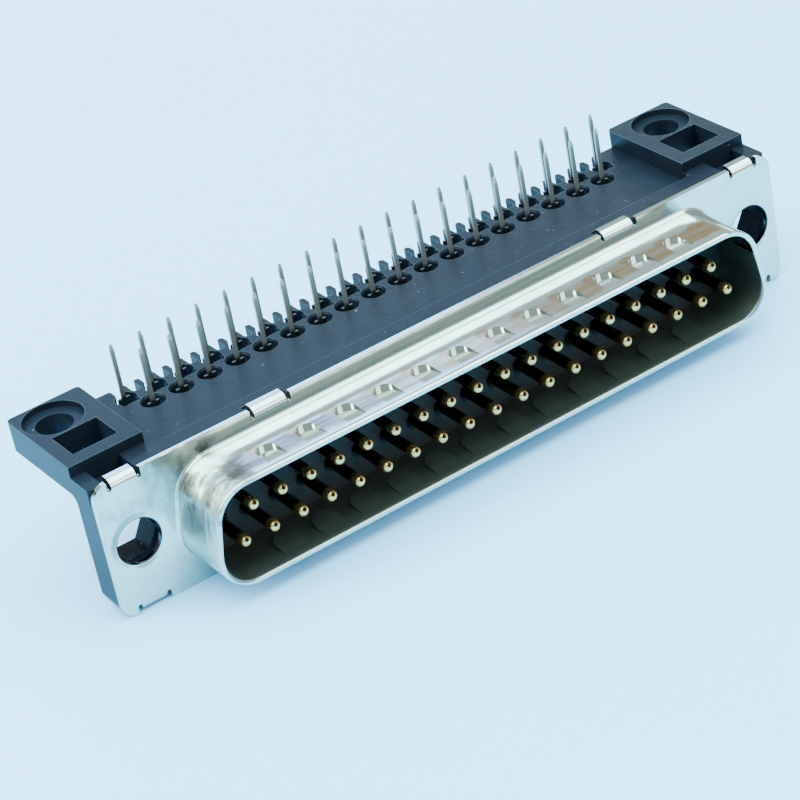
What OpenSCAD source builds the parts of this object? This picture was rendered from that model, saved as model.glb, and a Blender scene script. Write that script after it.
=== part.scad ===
// Right-angle board connector, D-shell plug with two staggered contact rows.
// X runs along the contact rows, Y from the mating mouth (-Y) to the solder side, Z out of the board side.
// The origin is the centre of the D, on the front face of the metal flange.

/* [Contacts] */
// Contacts in the wide row, the one away from the board
wide_row_n = 19; // [4:1:25]
// Distance between neighbouring contacts of a row
pitch = 2.77; // [2.6:0.01:3]
// Distance between the two contact rows
row_gap = 2.84; // [2.5:0.01:3.2]
// Diameter of a mating pin
pin_d = 1.0; // [0.8:0.05:1.1]
// Length of a pin in front of the insulator face
pin_reach = 4.5; // [3.5:0.1:5]
// Radius of the pin tip's rounding
pin_tip_r = 0.4; // [0.2:0.02:0.44]
// Diameter of the small eye left open in the rolled pin tip
tip_eye_d = 0.36; // [0.2:0.02:0.4]
// Depth of the eye
eye_depth = 0.9; // [0.3:0.1:1.5]
// Width of the seam along the top of a rolled pin
seam_w = 0.06; // [0.04:0.01:0.1]
// Diameter of the barrel held in the insulator
barrel_d = 1.26; // [1.15:0.02:1.4]
// Distance from the barrel's end to the insulator's rear face
barrel_cover = 1.0; // [0.4:0.1:2]
// Width of the leg and solder tail
tail_w = 0.38; // [0.32:0.02:0.7]
// Thickness of the leg and solder tail
tail_t = 0.22; // [0.16:0.02:0.5]
// Length of the solder tail beyond the board face
tail_reach = 3.3; // [2:0.1:5]
// Length of the tail's tapered point
tail_point = 0.5; // [0.3:0.1:1.6]
// Width of the tail at its very tip
tail_point_w = 0.22; // [0.1:0.02:0.3]
// Width of the locating shoulder of a tail, inside the deck
shoulder_w = 1.1; // [0.8:0.05:1.2]
// Distance from the deck's faces to the shoulder between them
shoulder_drop = 0.12; // [0.06:0.02:0.5]
// Inner radius of the bend from leg to tail
leg_bend_r = 0.7; // [0.4:0.05:1]
// Distance from the flange's front face to the near tail row
near_tail_y = 9.6; // [9:0.1:12]
// Distance between the two tail rows
tail_row_gap = 2.54; // [2.4:0.02:3]

/* [Shell] */
// Thickness of the sheet metal
sheet_t = 0.5; // [0.4:0.05:0.6]
// Height of the mouth, inside
mouth_h = 8.36; // [8:0.02:8.8]
// Distance from the last wide-row contact to the widest point of the mouth, inside
mouth_end_gap = 2.78; // [2.5:0.02:3.2]
// Radius of the mouth's corners, inside
mouth_corner_r = 2.8; // [2:0.1:3.2]
// Slant of the mouth's short sides
mouth_slant = 10; // [5:1:12]
// Depth of the drawn shell in front of the flange
shell_depth = 6.1; // [5.8:0.1:7]
// Radius of the fillet between shell and flange
root_r = 0.35; // [0.2:0.05:0.5]
// Rounding of the mouth's rim
rim_r = 0.18; // [0.1:0.02:0.19]
// Height of the flange
flange_h = 12.55; // [12.2:0.05:13.5]
// Radius of the flange's corners
flange_corner_r = 1.4; // [0.8:0.1:1.8]
// Distance from the mouth's widest point to the centre of the flange hole
hole_from_mouth = 4.04; // [4:0.01:5]
// Distance from the centre of the flange hole to the end of the flange
end_from_hole = 2.91; // [2.9:0.01:4]
// Diameter of the flange holes
flange_hole_d = 4.0; // [3:0.05:4.1]
// Diameter of the pressed rim around a flange hole
hole_rim_d = 5.0; // [4.4:0.1:5.4]
// Depth of the pressed rim around a flange hole
hole_rim_depth = 0.08; // [0.04:0.01:0.09]

/* [Spring dimples] */
// Dimples in each long wall of the shell
dimple_n = 12; // [2:1:16]
// Distance between neighbouring dimples
dimple_pitch = 3.78; // [3.4:0.02:4.2]
// Width of a dimple
dimple_w = 1.9; // [1.4:0.1:2.2]
// Length of a dimple's ramp, from the round end to where it runs out
dimple_l = 2.7; // [2:0.1:3]
// Depth of a dimple at its round end
dimple_depth = 0.36; // [0.2:0.02:0.4]
// Distance from the mouth to where the ramp runs out
dimple_from_mouth = 0.75; // [0.5:0.05:1]

/* [Clamping tabs] */
// Distance from the centre to an inner tab
inner_tab_x = 17.9; // [12:0.1:22]
// Width of an inner tab
inner_tab_w = 3.1; // [2.6:0.1:6]
// Width of an outer tab
outer_tab_w = 2.3; // [1.6:0.1:3]
// Length of a folded tab behind the flange's front face
tab_reach = 1.25; // [1:0.05:2]
// Inner radius of the fold
tab_bend_r = 0.25; // [0.15:0.05:0.4]
// Width of the relief notch beside a tab
relief_w = 0.4; // [0.3:0.05:0.6]
// Depth of the relief notch below the start of the fold
relief_below_fold = 0.06; // [0.02:0.02:0.3]
// Gap between a tab's end and the end of its seat
tab_end_gap = 0.3; // [0.1:0.05:0.5]
// Depth of the pocket under an outer tab, below the metal flange's long edge
tab_pocket_h = 1.35; // [1.1:0.05:1.6]

/* [Insulator] */
// Height of the insulator face in front of the flange's front face
face_stand = 0.5; // [0.2:0.1:1]
// Gap between insulator and shell, all round
nose_gap = 0.04; // [0.02:0.02:0.15]
// Thickness of the insulator's own flange
seat_t = 1.2; // [0.8:0.1:1.6]
// Width of the insulator's flange beyond the mouth, at each end
seat_over_x = 0.9; // [0.5:0.1:1.1]
// Height of the insulator's flange
seat_h = 10.4; // [9.8:0.1:10.8]
// Height of the insulator's rear body
body_h = 7.2; // [6.4:0.1:7.5]
// Distance from the last contact to the end of the rear body
body_end_gap = 1.9; // [1.5:0.1:2.4]
// Depth of the insulator behind the flange's front face
body_depth = 6.0; // [4.6:0.1:7]
// Diameter of the countersink around a pin
pin_sink_d = 1.7; // [1.4:0.1:2]
// Depth of the countersink around a pin
pin_sink_depth = 0.25; // [0.1:0.05:0.4]

/* [Bracket] */
// Thickness of the upright plate behind the metal flange
plate_t = 2.9; // [2.4:0.1:3.4]
// Distance from the contact rows' middle plane to the board face
board_z = 7.0; // [6.9:0.1:8]
// Height of the board face above the deck
standoff = 1.7; // [1.4:0.1:2.2]
// Thickness of the deck
deck_t = 1.5; // [1.2:0.1:1.55]
// Height of the strip above the deck, along the flange
strip_h = 0.7; // [0.4:0.05:0.8]
// Width of the strip
strip_w = 2.2; // [1.6:0.1:2.6]
// Distance from the plate's edges to the metal flange's long edges
edge_inset = 0.5; // [0.5:0.05:0.6]
// Chamfer on the plate's rear bottom edge
plate_chamfer = 0.6; // [0.3:0.1:1]
// Width across flats of the nut pocket
nut_af = 3.6; // [3.4:0.1:4]
// Diameter of the round mouth in front of the nut pocket
nut_mouth_d = 4.2; // [4.2:0.1:4.8]
// Depth of the round mouth
nut_mouth_depth = 0.5; // [0.2:0.1:1]
// General clearance between moulded parts
fit_gap = 0.05; // [0.02:0.01:0.1]

/* [Arms] */
// Width of an arm
arm_w = 6.85; // [6.6:0.05:7.2]
// Length of an arm behind the flange's front face
arm_reach = 14; // [13.6:0.1:16]
// Thickness of an arm
arm_t = 2.8; // [2.5:0.1:3.2]
// Radius of the fillet under an arm
arm_root_r = 0.8; // [0.4:0.1:1.2]
// Corner radius of an arm
arm_corner_r = 0.4; // [0.2:0.1:0.8]
// Diameter of the board hole
lock_d = 3.2; // [2.8:0.1:3.4]
// Diameter of the round recess around the board hole
lock_recess_d = 5.3; // [4.6:0.1:5.4]
// Depth of the round recess
lock_recess_depth = 0.6; // [0.4:0.1:1]
// Distance from the flange's front face to the board hole
lock_y = 11.2; // [11:0.1:11.3]
// Width of the square window
window_w = 4.15; // [3:0.05:4.4]
// Length of the square window
window_l = 3.55; // [2.6:0.05:3.6]
// Distance from the flange's front face to the window's middle
window_y = 6.64; // [6.4:0.02:6.7]
// Distance from the board hole's line to the window's middle, towards the centre
window_shift = 0.45; // [0.2:0.01:0.6]

/* [Tail comb] */
// Diameter of a near-row tail hole
near_hole_d = 2.0; // [1.6:0.05:2]
// Diameter of the shallow rim around a near-row hole
near_rim_d = 2.3; // [2.1:0.05:2.3]
// Depth of the shallow rim
near_rim_depth = 0.2; // [0.1:0.05:0.4]
// Diameter of the round seat at a rear-row tail
rear_hole_d = 1.5; // [1.3:0.05:1.55]
// Diameter of the wider opening in front of the seat
rear_mouth_d = 2.0; // [1.6:0.05:2]
// Distance from a rear-row tail to the middle of the wider opening
rear_mouth_y = 0.5; // [0.4:0.05:0.55]
// Diameter of the two ears in front of the wider opening
ear_d = 0.64; // [0.5:0.02:0.68]
// Distance between the two ears
ear_gap = 1.1; // [1:0.02:1.16]
// Distance from a rear-row tail to its ears
ear_y = 1.24; // [1.1:0.02:1.26]
// Width of the throat from a seat to the open edge of the comb
throat_w = 0.84; // [0.7:0.02:1]
// Distance from a rear-row tail to the tips of the fingers
comb_reach = 1.6; // [1.4:0.05:2]
// Width of the gap between two neighbouring fingers
comb_gap_w = 0.8; // [0.6:0.05:0.85]
// Length of the gap between two neighbouring fingers
comb_gap_l = 1.7; // [1:0.05:1.75]

/* [Hidden] */
$fn = 40;
relief_h = sheet_t + tab_bend_r + relief_below_fold;
narrow_row_n = wide_row_n - 1;
contact_n = wide_row_n + narrow_row_n;
row_half = (wide_row_n - 1) * pitch / 2;
mouth_half = row_half + mouth_end_gap;
hole_x = mouth_half + hole_from_mouth;
end_x = hole_x + end_from_hole;
flange_half_h = flange_h / 2;

corner_z = mouth_h / 2 - mouth_corner_r;
wide_corner_x = mouth_half - mouth_corner_r;
narrow_corner_x = wide_corner_x - 2 * corner_z * tan(mouth_slant);
corners = [[wide_corner_x, -corner_z], [narrow_corner_x, corner_z],
           [-narrow_corner_x, corner_z], [-wide_corner_x, -corner_z]];
corner_from = [-90, mouth_slant, 90, 180 - mouth_slant];
corner_turn = [90 + mouth_slant, 90 - mouth_slant, 90 - mouth_slant, 90 + mouth_slant];

plate_back = sheet_t + plate_t;
deck_z = board_z - standoff;
deck_under = deck_z - deck_t;
strip_z = deck_z + strip_h;
plate_bottom = -flange_half_h + edge_inset;
arm_x = end_x - arm_w;
rear_tail_y = near_tail_y + tail_row_gap;
comb_y = rear_tail_y + comb_reach;
comb_root_y = comb_y - comb_gap_l + comb_gap_w / 2;
finger_w = (pitch - comb_gap_w - throat_w) / 2;
tail_top = board_z + tail_reach;
face_y = -face_stand;
seat_back = sheet_t + seat_t;
seat_half_x = mouth_half + seat_over_x;
body_half_x = row_half + body_end_gap;
barrel_back = body_depth - barrel_cover;

tab_places = [for (side = [-1, 1]) each [[side * inner_tab_x, inner_tab_w], [side * hole_x, outer_tab_w]]];

function two_digits(i) = str(i < 10 ? "0" : "", i);
function contact_name(i) = str("contact_", two_digits(i));

cut = 0.1; // how far a cutter runs past the face that it opens

steel = "lightgray";
black = [0.12, 0.13, 0.16];
gold = "goldenrod";

// ---- Shared outlines ----

// The D, seen from the mouth, grown by e all round
module d_outline(e = 0) {
    r = mouth_corner_r + e;
    polygon([for (i = [0:3], a = [corner_from[i], corner_from[i] + corner_turn[i]])
        corners[i] + r * [cos(a), sin(a)]]);
    for (c = corners) translate(c) circle(r);
}

// Points of an arc from angle a to angle b
function arc(centre, r, a, b, steps) =
    [for (k = [0:steps]) centre + r * [cos(a + (b - a) * k / steps), sin(a + (b - a) * k / steps)]];

// Sweeps a closed section once round the D. A section point is [outwards from the mouth wall, forwards];
// the section runs counter-clockwise, and each D corner takes the same number of steps.
module around_d(section, steps) {
    stations = [for (i = [0:3], k = [0:steps]) [i, corner_from[i] + corner_turn[i] * k / steps]];
    points = [for (s = stations, p = section)
        let (c = corners[s[0]], r = mouth_corner_r + p[0]) [c[0] + r * cos(s[1]), c[1] + r * sin(s[1]), p[1]]];
    across = len(section);
    round_n = len(stations);
    function at(j, k) = (j % round_n) * across + k % across;
    polyhedron(points, [for (j = [0:round_n - 1], k = [0:across - 1])
        [at(j, k), at(j, k + 1), at(j + 1, k + 1), at(j + 1, k)]], convexity = 4);
}

// Turns a shape drawn in the mouth's view, with its height pointing out of the mouth, into place
module facing_front(y = 0) {
    translate([0, y, 0]) rotate([90, 0, 0]) children();
}

// Extrudes a side view (first axis Y, second axis Z) over the span from x0 to x1
module along_x(x0, x1) {
    translate([x0, 0, 0]) rotate([90, 0, 90]) linear_extrude(x1 - x0) children();
}

module rounded_rect(w, h, r) {
    square([w - 2 * r, h], center = true);
    square([w, h - 2 * r], center = true);
    for (x = [-1, 1], y = [-1, 1]) translate([x * (w / 2 - r), y * (h / 2 - r)]) circle(r);
}

// Places its children at both flange holes
module at_flange_holes() {
    for (side = [-1, 1]) translate([side * hole_x, 0, 0]) children();
}

// Repeats a top-edge feature on the bottom edge as well
module top_and_bottom() {
    children();
    mirror([0, 0, 1]) children();
}

// ---- Front shell: one stamped and drawn piece of sheet metal ----

// Drawn metal's section: a strip of the flange, the bend, the straight wall and the rounded rim
ring_w = 0.2;
bend_c = sheet_t + root_r;
rim_v = shell_depth - rim_r;
drawn_section = concat(
    [[bend_c + ring_w, -sheet_t], [bend_c + ring_w, 0]],
    arc([bend_c, root_r], root_r, 270, 180, 4),
    arc([sheet_t - rim_r, rim_v], rim_r, 0, 90, 3),
    arc([rim_r, rim_v], rim_r, 90, 180, 3),
    arc([bend_c, root_r], bend_c, 180, 270, 5));

// Side view of a folded tab on the top edge
module tab_section() {
    fold_c = sheet_t + tab_bend_r;
    fold_z = flange_half_h - fold_c;
    translate([0, flange_half_h - relief_h]) square([sheet_t, relief_h - fold_c]);
    intersection() {
        difference() {
            translate([fold_c, fold_z]) circle(fold_c);
            translate([fold_c, fold_z]) circle(tab_bend_r);
        }
        translate([0, fold_z]) square(fold_c);
    }
    translate([fold_c, flange_half_h - sheet_t]) square([tab_reach - fold_c, sheet_t]);
}

// Flange metal removed at a tab: the fold's height plus a round-ended notch on each side
module tab_relief(w) {
    notch_r = relief_w / 2;
    for (side = [-1, 1]) translate([side * (w / 2 + notch_r), flange_half_h - relief_h + notch_r]) {
        circle(notch_r);
        translate([-notch_r, 0]) square([relief_w, relief_h]);
    }
    translate([-w / 2 - notch_r, flange_half_h - relief_h + notch_r]) square([w + relief_w, relief_h]);
}

module flange_plate() {
    difference() {
        facing_front(sheet_t) linear_extrude(sheet_t) difference() {
            rounded_rect(2 * end_x, flange_h, flange_corner_r);
            d_outline(bend_c + ring_w / 2);
            for (flip = [0, 1], place = tab_places)
                mirror([0, flip]) translate([place[0], 0]) tab_relief(place[1]);
        }
        at_flange_holes() {
            facing_front(sheet_t + cut) cylinder(d = flange_hole_d, h = sheet_t + 2 * cut);
            facing_front(hole_rim_depth)
                cylinder(d1 = flange_hole_d, d2 = hole_rim_d, h = hole_rim_depth + 0.001);
        }
    }
}

// Dimple plan: round at the deep end, straight sides, running out towards the mouth.
// It lies on a ramp, so wall metal above the ramp is pushed inwards by the same slope.
module dimple_ramp(w, sink, h) {
    slope = asin(dimple_depth / dimple_l);
    translate([0, -shell_depth + dimple_from_mouth, mouth_h / 2 + sheet_t - sink]) rotate([-slope, 0, 0]) {
        linear_extrude(h) {
            translate([0, dimple_l - dimple_w / 2]) circle(d = w);
            translate([-w / 2, -dimple_l / 2]) square([w, 1.5 * dimple_l - dimple_w / 2]);
        }
    }
}

module dimples() {
    for (i = [0:dimple_n - 1]) translate([(i - (dimple_n - 1) / 2) * dimple_pitch, 0, 0]) children();
}

module front_shell() color(steel) {
    bump_w = dimple_w + sheet_t;
    flange_plate();
    top_and_bottom() for (place = tab_places)
        along_x(place[0] - place[1] / 2, place[0] + place[1] / 2) tab_section();
    difference() {
        union() {
            facing_front() around_d(drawn_section, 12);
            top_and_bottom() dimples() intersection() {
                dimple_ramp(bump_w, sheet_t, sheet_t);
                translate([-bump_w / 2, -shell_depth + dimple_from_mouth, 0])
                    cube([bump_w, shell_depth - dimple_from_mouth - root_r, mouth_h / 2 + sheet_t / 2]);
            }
        }
        top_and_bottom() dimples() dimple_ramp(dimple_w, 0, 2 * dimple_depth);
    }
}

// ---- Insulator: nose in the shell, flange clamped behind it, body that holds the contacts ----

module insulator() color(black) difference() {
    union() {
        facing_front(sheet_t) linear_extrude(sheet_t + face_stand) d_outline(-nose_gap);
        translate([0, seat_back, 0]) facing_front() linear_extrude(seat_t)
            rounded_rect(2 * seat_half_x, seat_h, 1);
        facing_front(body_depth) linear_extrude(body_depth - seat_back + cut)
            rounded_rect(2 * body_half_x, body_h, 0.5);
    }
    for (i = [1:contact_n]) translate([contact_x(i), 0, contact_z(i)]) {
        facing_front(body_depth) cylinder(d = pin_d + fit_gap, h = body_depth + face_stand + cut);
        facing_front(body_depth + cut) cylinder(d = barrel_d + fit_gap, h = body_depth + cut - sheet_t);
        facing_front(face_y + pin_sink_depth)
            cylinder(d1 = pin_d + fit_gap, d2 = pin_sink_d, h = pin_sink_depth + 0.01);
    }
}

// ---- Bracket: upright plate, deck with the tail comb, two board arms ----

module plate_side_view() {
    polygon([[sheet_t, plate_bottom], [plate_back - plate_chamfer, plate_bottom],
             [plate_back, plate_bottom + plate_chamfer], [plate_back, deck_z - deck_t / 2],
             [sheet_t, deck_z - deck_t / 2]]);
}

// Raised strip of the deck, along the flange
module strip_side_view() {
    strip_back = sheet_t + strip_w;
    polygon([[sheet_t, deck_under], [strip_back, deck_under], [strip_back + strip_h / 4, deck_z],
             [strip_back, strip_z], [sheet_t, strip_z]]);
}

// Room for a folded tab: a floor under the tab and a corner cut inside the fold
module tab_seat_view() {
    seat_z = flange_half_h - sheet_t;
    back = tab_reach + tab_end_gap;
    polygon([[sheet_t - cut, seat_z - tab_bend_r], [sheet_t, seat_z - tab_bend_r],
             [sheet_t + tab_bend_r, seat_z], [back, seat_z], [back, board_z], [sheet_t - cut, board_z]]);
}

// Opening for a rear-row tail: a round seat, a wider opening with two ears in front, a throat to the edge
module rear_tail_slot() {
    circle(d = rear_hole_d);
    translate([0, -rear_mouth_y]) circle(d = rear_mouth_d);
    for (side = [-1, 1]) translate([side * ear_gap / 2, -ear_y]) circle(d = ear_d);
    translate([-throat_w / 2, 0]) square([throat_w, comb_reach + cut]);
}

// Half of the deck's rear edge at one end of the comb, with a rounded corner beside the last throat
module comb_end() {
    inner = row_half + throat_w / 2;
    r = finger_w;
    translate([inner + r, comb_root_y - cut]) square([arm_x + cut - inner - r, comb_y - comb_root_y + cut]);
    translate([inner, comb_root_y - cut]) square([r + cut, comb_y - r - comb_root_y + cut]);
    translate([inner + r, comb_y - r]) circle(r);
}

// Fingers on both sides of a throat, with round tips
module fingers() {
    r = finger_w / 2;
    for (side = [-1, 1]) translate([side * (throat_w / 2 + r), 0]) {
        translate([-r, comb_root_y - cut]) square([finger_w, comb_y - r - comb_root_y + cut]);
        translate([0, comb_y - r]) circle(r);
    }
}

module deck_plan() {
    difference() {
        union() {
            translate([-arm_x - cut, sheet_t]) square([2 * (arm_x + cut), comb_root_y - sheet_t]);
            for (side = [0, 1]) mirror([side, 0]) comb_end();
            for (i = [1:wide_row_n]) translate([wide_x(i), 0]) fingers();
        }
        for (i = [1:narrow_row_n]) {
            translate([narrow_x(i), near_tail_y]) circle(d = near_hole_d);
            translate([narrow_x(i), comb_root_y]) circle(d = comb_gap_w);
        }
        for (i = [1:wide_row_n]) translate([wide_x(i), rear_tail_y]) rear_tail_slot();
    }
}

module deck() {
    difference() {
        translate([0, 0, deck_under]) linear_extrude(deck_t) deck_plan();
        for (i = [1:narrow_row_n]) translate([narrow_x(i), near_tail_y, deck_z - near_rim_depth])
            cylinder(d1 = near_hole_d, d2 = near_rim_d, h = near_rim_depth + 0.01);
    }
    along_x(-arm_x - cut, arm_x + cut) strip_side_view();
}

module arm_plan() {
    mid_y = (sheet_t + arm_reach) / 2;
    translate([end_x - arm_w / 2, mid_y]) rounded_rect(arm_w, arm_reach - sheet_t, arm_corner_r);
}

module arm_cuts() {
    translate([hole_x, lock_y, 0]) {
        translate([0, 0, board_z - arm_t - cut]) cylinder(d = lock_d, h = arm_t + 2 * cut);
        translate([0, 0, board_z - lock_recess_depth])
            cylinder(d = lock_recess_d, h = lock_recess_depth + cut);
    }
    translate([hole_x - window_shift - window_w / 2, window_y - window_l / 2, board_z - arm_t - cut])
        cube([window_w, window_l, arm_t + 2 * cut]);
}

// Side view of the fillet where an arm leaves the plate
module arm_root_view() {
    translate([plate_back, board_z - arm_t - arm_root_r]) difference() {
        translate([-cut, 0]) square([arm_root_r + cut, arm_root_r + cut]);
        translate([arm_root_r, 0]) circle(arm_root_r);
    }
}

module arms() {
    for (side = [0, 1]) mirror([side, 0, 0]) {
        difference() {
            translate([0, 0, board_z - arm_t]) linear_extrude(arm_t) arm_plan();
            arm_cuts();
            translate([0, -cut, strip_z]) cube([end_x + cut, plate_back + cut, arm_t]);
        }
        along_x(arm_x, end_x) arm_root_view();
    }
}

module bracket() color(black) difference() {
    union() {
        intersection() {
            along_x(-end_x, end_x) plate_side_view();
            facing_front(plate_back) linear_extrude(plate_t)
                rounded_rect(2 * end_x, flange_h, flange_corner_r);
        }
        deck();
        arms();
    }
    // insulator flange and body
    facing_front(seat_back + fit_gap) linear_extrude(seat_t + fit_gap + cut)
        rounded_rect(2 * (seat_half_x + fit_gap), seat_h + 2 * fit_gap, 1);
    facing_front(plate_back + cut) linear_extrude(plate_back + 2 * cut)
        rounded_rect(2 * (body_half_x + fit_gap), body_h + 2 * fit_gap, 0.5);
    // nut pockets behind the flange holes
    at_flange_holes() {
        facing_front(plate_back + cut) cylinder(d = nut_af / cos(30), h = plate_back + 2 * cut, $fn = 6);
        facing_front(sheet_t + nut_mouth_depth) cylinder(d = nut_mouth_d, h = nut_mouth_depth + cut);
    }
    // tab seats, with a deep pocket under the outer ones on the board side
    top_and_bottom() for (place = tab_places)
        along_x(place[0] - place[1] / 2 - relief_w, place[0] + place[1] / 2 + relief_w) tab_seat_view();
    pocket_w = outer_tab_w + 2 * relief_w;
    at_flange_holes() translate([-pocket_w / 2, sheet_t - cut, flange_half_h - tab_pocket_h])
        cube([pocket_w, plate_t + cut, board_z - flange_half_h + tab_pocket_h]);
}

// ---- Contacts: rolled pin, barrel, bent leg, solder tail with a point ----

function wide_x(i) = (i - 1) * pitch - row_half;
function narrow_x(i) = wide_x(i) + pitch / 2;
function in_wide_row(i) = i <= wide_row_n;
function contact_x(i) = in_wide_row(i) ? wide_x(i) : narrow_x(i - wide_row_n);
function contact_z(i) = in_wide_row(i) ? -row_gap / 2 : row_gap / 2;
function tail_y(i) = in_wide_row(i) ? rear_tail_y : near_tail_y;

// Half section of the pin, tip at the top
module pin_section() {
    pin_l = sheet_t + face_stand + pin_reach;
    core = pin_d / 2 - pin_tip_r;
    square([core, pin_l]);
    square([pin_d / 2, pin_l - pin_tip_r]);
    translate([core, pin_l - pin_tip_r]) intersection() {
        circle(pin_tip_r);
        square(pin_tip_r);
    }
}

// Side view of leg, bend and tail; the strip thins towards the tail's point
module leg_side_view(y, z) {
    half_t = tail_t / 2;
    bend_c = leg_bend_r + half_t;
    point_z = tail_top - tail_point;
    point_t = half_t * tail_point_w / tail_w;
    root = barrel_back - barrel_cover / 3;
    translate([root, z - half_t]) square([y - bend_c - root, tail_t]);
    translate([y - bend_c, z + bend_c]) intersection() {
        difference() {
            circle(bend_c + half_t);
            circle(leg_bend_r);
        }
        translate([0, -bend_c - half_t]) square(bend_c + half_t);
    }
    translate([y - half_t, z + bend_c]) square([tail_t, point_z - z - bend_c]);
    polygon([[y - half_t, point_z], [y + half_t, point_z], [y + point_t, tail_top], [y - point_t, tail_top]]);
}

// Front view of the same strip: a shoulder inside the deck, and the point
module leg_front_view(z) {
    w = tail_w / 2;
    s = shoulder_w / 2;
    low = deck_under + shoulder_drop;
    high = deck_z - shoulder_drop;
    p = tail_point_w / 2;
    polygon([[-w, z - tail_t], [w, z - tail_t], [w, low], [s, low + s - w], [s, high], [w, high],
             [w, tail_top - tail_point], [p, tail_top], [-p, tail_top], [-w, tail_top - tail_point],
             [-w, high], [-s, high], [-s, low + s - w], [-w, low]]);
}

module pin() {
    facing_front(sheet_t) rotate_extrude() pin_section();
    facing_front(barrel_back) cylinder(d = barrel_d, h = barrel_back - sheet_t);
}

module contact(i) color(gold) {
    y = tail_y(i);
    z = contact_z(i);
    tip_y = face_y - pin_reach;
    translate([contact_x(i), 0, 0]) {
        difference() {
            translate([0, 0, z]) pin();
            translate([0, 0, z + pin_d / 4]) facing_front(tip_y + eye_depth)
                cylinder(d = tip_eye_d, h = eye_depth + cut);
            translate([-seam_w / 2, tip_y - cut, z + pin_d / 3]) cube([seam_w, pin_reach + cut, pin_d / 2]);
        }
        intersection() {
            along_x(-shoulder_w / 2, shoulder_w / 2) leg_side_view(y, z);
            facing_front(y + tail_t) linear_extrude(y) leg_front_view(z);
        }
    }
}

// ---- Whole connector ----

front_shell();
insulator();
bracket();
for (i = [1:contact_n]) contact(i);
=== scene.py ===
import math

import bmesh
import bpy
from mathutils import Matrix, Vector


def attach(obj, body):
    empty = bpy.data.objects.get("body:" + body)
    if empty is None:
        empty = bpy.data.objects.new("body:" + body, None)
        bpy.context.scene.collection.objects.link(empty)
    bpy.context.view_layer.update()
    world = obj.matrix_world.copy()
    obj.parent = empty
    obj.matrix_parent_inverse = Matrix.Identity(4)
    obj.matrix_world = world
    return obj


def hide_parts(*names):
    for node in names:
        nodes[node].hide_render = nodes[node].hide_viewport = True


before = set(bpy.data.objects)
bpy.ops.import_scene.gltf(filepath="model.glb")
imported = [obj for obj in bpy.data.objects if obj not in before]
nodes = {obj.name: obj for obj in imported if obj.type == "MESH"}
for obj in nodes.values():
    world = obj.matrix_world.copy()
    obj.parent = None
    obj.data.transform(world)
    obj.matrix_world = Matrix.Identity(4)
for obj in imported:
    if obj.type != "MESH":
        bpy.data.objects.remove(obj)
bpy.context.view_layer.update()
mm = 0.001


# Shader expressions: a Wire is one output socket, and Python's operators add the maths nodes

class Wire:
    def __init__(self, shop, socket):
        self.shop, self.socket = shop, socket

    def maths(self, kind, a, b=0.0):
        return self.shop.add("ShaderNodeMath", {"operation": kind}, {0: a, 1: b})

    def __add__(self, other):
        return self.maths("ADD", self, other)

    __radd__ = __add__

    def __mul__(self, other):
        return self.maths("MULTIPLY", self, other)

    __rmul__ = __mul__

    def __sub__(self, other):
        return self.maths("SUBTRACT", self, other)

    def __rsub__(self, other):
        return self.maths("SUBTRACT", other, self)

    def __neg__(self):
        return self.maths("MULTIPLY", self, -1.0)

    def __truediv__(self, other):
        return self.maths("DIVIDE", self, other)

    def __pow__(self, other):
        return self.maths("POWER", self, other)

    def atLeast(self, other):
        return self.maths("MAXIMUM", self, other)

    def above(self, other):
        return self.maths("GREATER_THAN", self, other)

    def size(self):
        return self.maths("ABSOLUTE", self)

    def fraction(self):
        return self.maths("FRACT", self)


class Shop:  # one material and its nodes
    def __init__(self, name, constants):
        self.material = bpy.data.materials.new(name)
        self.material.use_nodes = True
        self.tree = self.material.node_tree
        self.shader = self.tree.nodes["Principled BSDF"]
        for socketName, value in constants.items():
            self.shader.inputs[socketName].default_value = value
        self.place = self.add("ShaderNodeTexCoord", {}, {}, "Object")

    def add(self, kind, settings, inputs, output=0):
        node = self.tree.nodes.new(kind)
        for name, value in settings.items():
            setattr(node, name, value)
        for name, value in inputs.items():
            if isinstance(value, Wire):
                self.tree.links.new(value.socket, node.inputs[name])
            else:
                node.inputs[name].default_value = value
        return Wire(self, node.outputs[output])

    def feed(self, socketName, wire):
        self.tree.links.new(wire.socket, self.shader.inputs[socketName])

    def axes(self):
        split = self.add("ShaderNodeSeparateXYZ", {}, {0: self.place})
        return [Wire(self, output) for output in split.socket.node.outputs]

    def noise(self, pattern, stretch=None):  # pattern is scale, detail and roughness
        place = self.place
        if stretch:
            place = self.add("ShaderNodeMapping", {}, {"Vector": place, "Scale": stretch})
        scale, detail, roughness = pattern
        return self.add("ShaderNodeTexNoise", {},
                        {"Vector": place, "Scale": scale, "Detail": detail, "Roughness": roughness})

    def ramp(self, wire, low, high):  # 0 below low, 1 above high
        return self.rescale(wire, low, high, 0.0, 1.0)

    def between(self, wire, a, b):  # a where the wire is 0, b where it is 1
        return self.rescale(wire, 0.0, 1.0, a, b)

    def rescale(self, wire, low, high, a, b):
        return self.add("ShaderNodeMapRange", {"clamp": True},
                        {"Value": wire, "From Min": low, "From Max": high, "To Min": a, "To Max": b})

    def blend(self, factor, a, b):
        return self.add("ShaderNodeMix", {"data_type": "RGBA"},
                        {0: factor, 6: asColour(a), 7: asColour(b)}, 2)

    def bump(self, height, distance, under=None):
        inputs = {"Height": height, "Distance": distance, "Strength": 1.0}
        if under:
            inputs["Normal"] = under
        return self.add("ShaderNodeBump", {}, inputs)


def asColour(value):
    return value if isinstance(value, Wire) else (*value, 1.0)


def apart(a, b):  # straight distance over two offsets at right angles
    return (a * a + b * b) ** 0.5


# Materials: a noise is its scale, detail and roughness, and a pair is the two ends of a range

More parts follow.
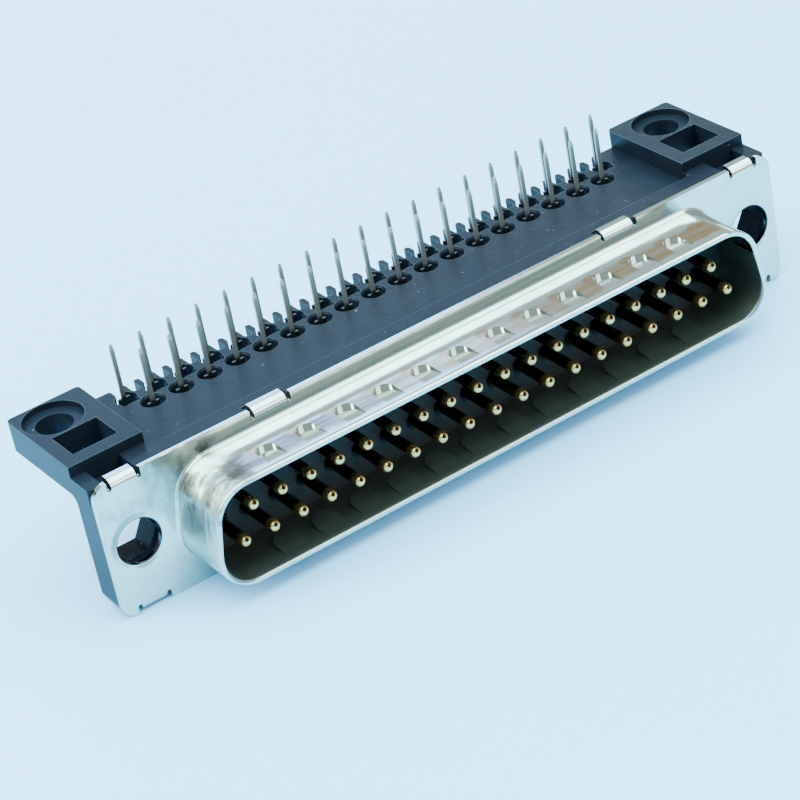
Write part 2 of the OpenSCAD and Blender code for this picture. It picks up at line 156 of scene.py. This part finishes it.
tinSettings = {
    "bright": (0.54, 0.60, 0.53),
    "dull": (0.43, 0.49, 0.44),
    "cloudNoise": (160.0, 4.0, 0.6),
    "cloudDulls": 0.2,
    "smudgeNoise": (420.0, 3.0, 0.55),
    "smudgeFrom": (0.50, 0.72),
    "smudgeDulls": 0.6,
    "topZ": (4.60 * mm, 4.665 * mm),
    "bandY": (-5.3 * mm, -4.9 * mm, -2.9 * mm, -2.4 * mm),
    # the band's tan and grey are a painted reflection
    "reflectedTan": (0.40, 0.265, 0.13),
    "reflectedGrey": (0.135, 0.105, 0.082),
    "tanX": (-14.0 * mm, -2.0 * mm),
    "wanderNoise": (700.0, 2.0, 0.5),
    "wander": 0.9 * mm,  # how far the painted reflections' edges stray
    "streakNoise": (260.0, 2.0, 0.6),
    "streakStretch": (0.5, 6.0, 1.0),
    "streakFrom": (0.30, 0.62),
    "bandStrength": (0.60, 1.0),
    "thumbPitch": 3.78 * mm,
    "thumbPlace": (-0.75 * mm, -2.75 * mm),  # from the middle of a pitch, and along Y
    "thumbRadius": (0.60 * mm, 0.95 * mm),
    "thumbFlatness": 2.2,
    "thumbWander": 0.5,
    # tan of the painted reflection in each dimple's back wall
    "thumbReflection": (0.40, 0.235, 0.11),
    "thumbStrength": 0.8,
    "lineTone": (0.32, 0.38, 0.35),
    "lineNoise": (1500.0, 3.0, 0.7),
    "lineStretch": (0.03, 1.0, 1.0),
    "lineFrom": (0.50, 0.66),
    "lineY": (-2.9 * mm, -2.5 * mm),
    "lineZ": (4.2 * mm, 4.6 * mm),
    "lineX": (27.2 * mm, 26.2 * mm),
    "lineStrength": 0.6,
    "holeX": 31.75 * mm,
    "holeEdge": (2.06 * mm, 2.12 * mm),
    # painted shade on the holes' inner edge
    "holeEdgeShade": (0.035, 0.03, 0.03),
    "holeRing": (2.15 * mm, 2.60 * mm),
    "holeRingHeight": 0.09 * mm,
    "darkened": (0.07, 0.06, 0.05),
    "darkPatchNoise": (520.0, 3.0, 0.6),
    "darkPatchFrom": (0.46, 0.60),
    "darkPatchZ": (0.2 * mm, 2.8 * mm),
    "darkPatchStrength": 0.85,
    "cornerX": (-22.0 * mm, -27.0 * mm),
    "cornerAhead": (-0.2 * mm, 0.4 * mm),
    "cornerDulls": 0.17,
    "rootMark": (-25.0 * mm, 5.1 * mm),
    "rootMarkRadius": (0.2 * mm, 1.5 * mm),
    "rootMarkLength": 2.0,
    # painted shade of the metal inside the mouth
    "inside": (0.17, 0.18, 0.15),
    "insideAhead": (0.0, 0.1 * mm),
    "insidePolish": 0.42,
    "mouthRadius": 2.85 * mm,
    "mouthCentre": (24.91 * mm, 1.38 * mm),  # of a lower corner's curve, outwards and down
    "mouthSlant": 0.1763,
    "polish": (0.09, 0.20),
    "drawY": (-3.2 * mm, -0.4 * mm),
    "drawHeight": 0.34 * mm,
    "wrinkleNoise": (520.0, 2.0, 0.5),
    "wrinkleStretch": (1.0, 1.0, 0.5),
    "wrinkleHeight": 0.17 * mm,
    "waveNoise": (330.0, 1.0, 0.4),
    "waveHeight": 0.009 * mm,
    "grainNoise": (6000.0, 2.0, 0.6),
    "grainHeight": 0.0016 * mm,
}


def makeTin():
    s = tinSettings
    shop = Shop("tinnedSheet", {"Metallic": 1.0})
    across, depth, height = shop.axes()
    ahead = -depth  # in front of the flange
    onTop = shop.ramp(height, *s["topZ"])
    cloud = shop.noise(s["cloudNoise"])
    smudge = shop.ramp(shop.noise(s["smudgeNoise"]), *s["smudgeFrom"])
    tone = shop.blend(smudge * s["smudgeDulls"] + cloud * s["cloudDulls"], s["bright"], s["dull"])

    # painted reflection: a tan band along the flat of the top wall, greyer towards the left
    wander = (shop.noise(s["wanderNoise"]) - 0.5) * s["wander"]
    frontStart, frontEnd, backStart, backEnd = s["bandY"]
    edge = depth + wander
    band = shop.ramp(edge, frontStart, frontEnd) * (1 - shop.ramp(edge, backStart, backEnd)) * onTop
    streak = shop.ramp(shop.noise(s["streakNoise"], s["streakStretch"]), *s["streakFrom"])
    paintedReflection = shop.blend(shop.ramp(across, *s["tanX"]), s["reflectedGrey"], s["reflectedTan"])
    tone = shop.blend(band * shop.between(streak, *s["bandStrength"]), tone, paintedReflection)

    # a painted tan reflection at the back of each spring dimple
    pitch = s["thumbPitch"]
    thumbX = (across / pitch).fraction() * pitch - pitch / 2 - s["thumbPlace"][0]
    thumbY = depth - s["thumbPlace"][1]
    fromThumb = (thumbX * thumbX + thumbY * thumbY * s["thumbFlatness"]) ** 0.5
    thumb = (1 - shop.ramp(fromThumb + wander * s["thumbWander"], *s["thumbRadius"])) * onTop
    tone = shop.blend(thumb * s["thumbStrength"], tone, s["thumbReflection"])

    # drawing lines along the root of the long wall and the flange above it
    lineZone = shop.ramp(depth, *s["lineY"]) * shop.ramp(height, *s["lineZ"])
    lineZone = lineZone * shop.ramp(across.size(), *s["lineX"])
    lines = shop.ramp(shop.noise(s["lineNoise"], s["lineStretch"]), *s["lineFrom"])
    tone = shop.blend(lineZone * lines * s["lineStrength"], tone, s["lineTone"])

    # painted shade on the edge of the flange holes, and their pressed ring
    fromHole = apart(across.size() - s["holeX"], height)
    tone = shop.blend(1 - shop.ramp(fromHole, *s["holeEdge"]), tone, s["holeEdgeShade"])
    ring = shop.bump(shop.ramp(fromHole, *s["holeRing"]), s["holeRingHeight"])

    # darker patches on the wrinkled left corner and at the shell's root
    corner = shop.ramp(across, *s["cornerX"]) * shop.ramp(ahead, *s["cornerAhead"])
    rootX, rootZ = s["rootMark"]
    fromRoot = apart((across - rootX) / s["rootMarkLength"], height - rootZ)
    nearRoot = 1 - shop.ramp(fromRoot, *s["rootMarkRadius"])
    darkPatch = shop.ramp(shop.noise(s["darkPatchNoise"]), *s["darkPatchFrom"])
    darkPatch = darkPatch * (corner * shop.ramp(height, *s["darkPatchZ"])).atLeast(nearRoot)
    tone = shop.blend(darkPatch * s["darkPatchStrength"], tone, s["darkened"])

    # painted shade inside the mouth, where the metal is also duller
    centreX, centreZ = s["mouthCentre"]
    outX = (across.size() + (height + centreZ) * s["mouthSlant"] - centreX).atLeast(0.0)
    outZ = (height.size() - centreZ).atLeast(0.0)
    inside = (1 - apart(outX, outZ).above(s["mouthRadius"])) * shop.ramp(ahead, *s["insideAhead"])
    shop.feed("Base Color", shop.blend(inside, tone, s["inside"]))
    polish = shop.between((cloud + smudge) / 2, *s["polish"]) + corner * s["cornerDulls"]
    shop.feed("Roughness", polish.atLeast(inside * s["insidePolish"]))

    # the wall curves gently into the flange before the tight bend
    drawn = shop.ramp(depth, *s["drawY"])
    curve = shop.bump(drawn * drawn, s["drawHeight"], ring)
    wrinkle = shop.noise(s["wrinkleNoise"], s["wrinkleStretch"]) * corner
    wrinkles = shop.bump(wrinkle, s["wrinkleHeight"], curve)
    waves = shop.bump(shop.noise(s["waveNoise"]), s["waveHeight"], wrinkles)
    shop.feed("Normal", shop.bump(shop.noise(s["grainNoise"]), s["grainHeight"], waves))
    return shop.material


plasticSettings = {
    "ior": 1.15,
    "body": (0.0045, 0.007, 0.0115),
    "worn": (0.0135, 0.0180, 0.0265),
    "cloudNoise": (240.0, 3.0, 0.55),
    "cloudWears": 0.5,
    "edgeRound": 0.09 * mm,
    "edgeSamples": 6,
    # paler edge tone: partly wear, partly a painted highlight
    "wornAndLitEdge": (0.13, 0.17, 0.21),
    "wearAndHighlightFrom": (0.02, 0.22),
    "wearAndHighlightStrength": (0.35, 1.0),
    "armRimZ": (6.70 * mm, 6.95 * mm),
    "deckX": (26.6 * mm, 27.0 * mm),
    "dust": (0.30, 0.34, 0.38),
    "dustNoise": (2400.0, 1.0, 0.5),
    "dustFrom": (0.77, 0.82),
    "dustStrength": 0.35,
    "polish": (0.20, 0.34),
    "swellNoise": (420.0, 2.0, 0.5),
    "swellHeight": 0.02 * mm,
    "sparkNoise": (4200.0, 3.0, 0.7),
    "sparkHeight": 0.022 * mm,
}


def makePlastic():
    s = plasticSettings
    shop = Shop("blackMoulding", {"IOR": s["ior"]})
    across, _, height = shop.axes()
    cloud = shop.noise(s["cloudNoise"])
    tone = shop.blend(cloud * s["cloudWears"], s["body"], s["worn"])

    # edges are slightly round, and painted paler on the arms' rims and the deck: partly wear, partly
    # a painted highlight
    rounded = shop.add("ShaderNodeBevel", {"samples": s["edgeSamples"]}, {"Radius": s["edgeRound"]})
    flat = shop.add("ShaderNodeNewGeometry", {}, {}, "True Normal")
    dot = {"operation": "DOT_PRODUCT"}
    same = shop.add("ShaderNodeVectorMath", dot, {0: rounded, 1: flat}, "Value")  # 1 away from edges
    wearAndHighlightZone = shop.ramp(height, *s["armRimZ"]).atLeast(1 - shop.ramp(across.size(), *s["deckX"]))
    wearAndHighlight = shop.ramp(1 - same, *s["wearAndHighlightFrom"]) * shop.between(cloud, *s["wearAndHighlightStrength"]) * wearAndHighlightZone
    tone = shop.blend(wearAndHighlight, tone, s["wornAndLitEdge"])

    dust = shop.ramp(shop.noise(s["dustNoise"]), *s["dustFrom"])
    shop.feed("Base Color", shop.blend(dust * s["dustStrength"], tone, s["dust"]))
    shop.feed("Roughness", shop.between(cloud, *s["polish"]))
    swell = shop.bump(shop.noise(s["swellNoise"]), s["swellHeight"], rounded)
    shop.feed("Normal", shop.bump(shop.noise(s["sparkNoise"]), s["sparkHeight"], swell))
    return shop.material


insulatorSettings = {
    "ior": 1.25,
    "body": (0.014, 0.0155, 0.0155),
    "worn": (0.028, 0.030, 0.029),
    "cloudNoise": (300.0, 3.0, 0.55),
    "cloudWears": 0.6,
    "polish": (0.34, 0.5),
    "grainNoise": (5200.0, 2.0, 0.6),
    "grainHeight": 0.006 * mm,
}


def makeInsulator():
    s = insulatorSettings
    shop = Shop("insulatorMoulding", {"IOR": s["ior"]})
    cloud = shop.noise(s["cloudNoise"])
    shop.feed("Base Color", shop.blend(cloud * s["cloudWears"], s["body"], s["worn"]))
    shop.feed("Roughness", shop.between(cloud, *s["polish"]))
    shop.feed("Normal", shop.bump(shop.noise(s["grainNoise"]), s["grainHeight"]))
    return shop.material


platingSettings = {
    "gold": (0.96, 0.62, 0.24),
    "goldDeep": (0.55, 0.33, 0.12),
    # painted shade on the pin shafts deep in the shell
    "shaftShade": (0.05, 0.035, 0.015),
    "shaftY": (-4.35 * mm, -3.85 * mm),
    "tin": (0.50, 0.47, 0.41),
    "tinDull": (0.40, 0.39, 0.36),
    # painted shade on the tails below the deck, down in their holes
    "tailHoleShade": (0.06, 0.065, 0.07),
    "holeZ": (5.25 * mm, 5.6 * mm),
    "tinY": (3.0 * mm, 3.4 * mm),
    "cloudNoise": (900.0, 3.0, 0.6),
    "drawnNoise": (900.0, 3.0, 0.6),
    "drawnStretch": (4.0, 0.6, 0.6),
    "drawnHeight": 0.006 * mm,
    "cloudShare": 0.6,
    "polish": (0.22, 0.36),
    "tailPolish": (0.34, 0.48),
}


def makePlating():
    s = platingSettings
    shop = Shop("contactPlating", {"Metallic": 1.0})
    _, depth, height = shop.axes()
    drawn = shop.noise(s["drawnNoise"], s["drawnStretch"])
    cloud = shop.noise(s["cloudNoise"])
    goldTone = shop.blend(cloud, s["gold"], s["goldDeep"])
    # the pins' shafts deep in the shell take painted shade
    pinTone = shop.blend(shop.ramp(depth, *s["shaftY"]), goldTone, s["shaftShade"])
    tinTone = shop.blend(drawn, s["tin"], s["tinDull"])
    # tails below the deck take painted shade
    tinTone = shop.blend(shop.ramp(height, *s["holeZ"]), s["tailHoleShade"], tinTone)
    isTin = shop.ramp(depth, *s["tinY"])
    shop.feed("Base Color", shop.blend(isTin, pinTone, tinTone))
    mottle = cloud * s["cloudShare"] + drawn * (1 - s["cloudShare"])
    pinPolish = shop.between(mottle, *s["polish"])
    tailPolish = shop.between(mottle, *s["tailPolish"])
    shop.feed("Roughness", pinPolish * (1 - isTin) + tailPolish * isTin)
    shop.feed("Normal", shop.bump(drawn, s["drawnHeight"]))
    return shop.material


finishes = {
    "front_shell": makeTin(),
    "bracket": makePlastic(),
    "insulator": makeInsulator(),
    "contact": makePlating(),
}
print("materials made")


# CAD nodes keep their shape and take their finish

for name, node in nodes.items():
    node.data.materials.clear()
    node.data.materials.append(finishes["contact" if name.startswith("contact") else name])
print("finishes given to", len(nodes), "nodes")


# The shell's copy has its loose triangles joined, smooth over curves and crisp at edges

shellSettings = {"joinWithin": 0.0004 * mm, "sliver": 0.0002 * mm, "crispAngle": 30.0}


def smoothShell():
    s = shellSettings
    mesh = nodes["front_shell"].data.copy()
    mesh.name = "drawnShell"
    shape = bmesh.new()
    shape.from_mesh(mesh)
    bmesh.ops.remove_doubles(shape, verts=shape.verts, dist=s["joinWithin"])
    bmesh.ops.dissolve_degenerate(shape, edges=shape.edges, dist=s["sliver"])
    for face in shape.faces:
        face.smooth = True
    shape.to_mesh(mesh)
    shape.free()
    if "custom_normal" in mesh.attributes:
        mesh.attributes.remove(mesh.attributes["custom_normal"])
    mesh.set_sharp_from_angle(angle=math.radians(s["crispAngle"]))
    shell = bpy.data.objects.new("drawnShell", mesh)
    bpy.context.scene.collection.objects.link(shell)
    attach(shell, "root")
    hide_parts("front_shell")


smoothShell()
print("shell smoothed")


# Table, light and camera

tableSettings = {
    "height": -6.29 * mm,
    "half": 1.2,
    "tone": (0.30, 0.65, 0.97),
    "cloud": (0.32, 0.67, 0.99),
    "cloudNoise": (12.0, 2.0, 0.5),
    "polish": 0.45,
}


def makeTable():
    s = tableSettings
    shape = bmesh.new()
    bmesh.ops.create_grid(shape, x_segments=1, y_segments=1, size=s["half"])
    bmesh.ops.translate(shape, verts=shape.verts, vec=(0, 0, s["height"]))
    mesh = bpy.data.meshes.new("table")
    shape.to_mesh(mesh)
    shape.free()
    table = bpy.data.objects.new("table", mesh)
    bpy.context.scene.collection.objects.link(table)
    shop = Shop("paleTable", {"Roughness": s["polish"]})
    shop.feed("Base Color", shop.blend(shop.noise(s["cloudNoise"]), s["tone"], s["cloud"]))
    mesh.materials.append(shop.material)


makeTable()

skySettings = {"colour": (0.75, 0.92, 1.0), "strength": 1.05}

lampSettings = {
    "overhead": {"at": (0.0, 0.02, 0.95), "size": (1.7, 1.25), "watts": 70.0,
                 "colour": (0.56, 0.94, 1.0)},
    "window": {"at": (-0.75, 0.25, 0.45), "size": (0.4, 0.4), "watts": 10.0,
               "colour": (0.80, 0.95, 1.0)},
    "horizon": {"at": (0.45, 0.82, 0.22), "size": (1.1, 0.16), "watts": 2.6,
                "colour": (0.76, 0.92, 1.0)},
    "backdrop": {"at": (0.22, 0.80, 0.56), "size": (0.5, 0.20), "watts": 2.2,
                 "colour": (0.30, 0.52, 1.0)},
    "fill": {"at": (0.37, -0.68, 0.46), "size": (0.7, 0.4), "watts": 5.0,
             "colour": (0.86, 0.96, 1.0)},
}


def makeSky():
    world = bpy.data.worlds.new("studio")
    bpy.context.scene.world = world
    world.use_nodes = True
    sky = world.node_tree.nodes["Background"]
    sky.inputs["Color"].default_value = asColour(skySettings["colour"])
    sky.inputs["Strength"].default_value = skySettings["strength"]


def makeLamp(name, at, size, watts, colour):
    lamp = bpy.data.lights.new(name, "AREA")
    lamp.shape = "RECTANGLE"
    lamp.size, lamp.size_y = size
    lamp.energy = watts
    lamp.color = colour
    holder = bpy.data.objects.new(name, lamp)
    holder.location = at
    holder.rotation_euler = (-Vector(at)).to_track_quat("-Z", "Y").to_euler()
    bpy.context.scene.collection.objects.link(holder)


makeSky()
for name, lamp in lampSettings.items():
    makeLamp(name, **lamp)

cameraSettings = {
    "azimuth": -28.75,  # degrees, as the next two
    "elevation": 30.86,
    "roll": -11.46,
    "distance": 239.3 * mm,
    "target": (-6.146 * mm, 0.101 * mm, 0.60 * mm),
    "lens": 130.2,
    "clipStart": 0.01,
}


def makeCamera():
    s = cameraSettings
    azimuth, elevation, roll = (math.radians(s[turn]) for turn in ("azimuth", "elevation", "roll"))
    away = Vector((math.sin(azimuth) * math.cos(elevation),
                   -math.cos(azimuth) * math.cos(elevation),
                   math.sin(elevation)))
    right = (-away).cross(Vector((0, 0, 1))).normalized()
    up = right.cross(-away)
    turnedRight = math.cos(roll) * right + math.sin(roll) * up
    turnedUp = math.cos(roll) * up - math.sin(roll) * right
    lens = bpy.data.cameras.new("camera")
    lens.lens = s["lens"]
    lens.clip_start = s["clipStart"]
    camera = bpy.data.objects.new("camera", lens)
    camera.matrix_world = Matrix((turnedRight, turnedUp, away)).transposed().to_4x4()
    camera.location = Vector(s["target"]) + away * s["distance"]
    bpy.context.scene.collection.objects.link(camera)
    bpy.context.scene.camera = camera


makeCamera()
print("table, lights and camera set")
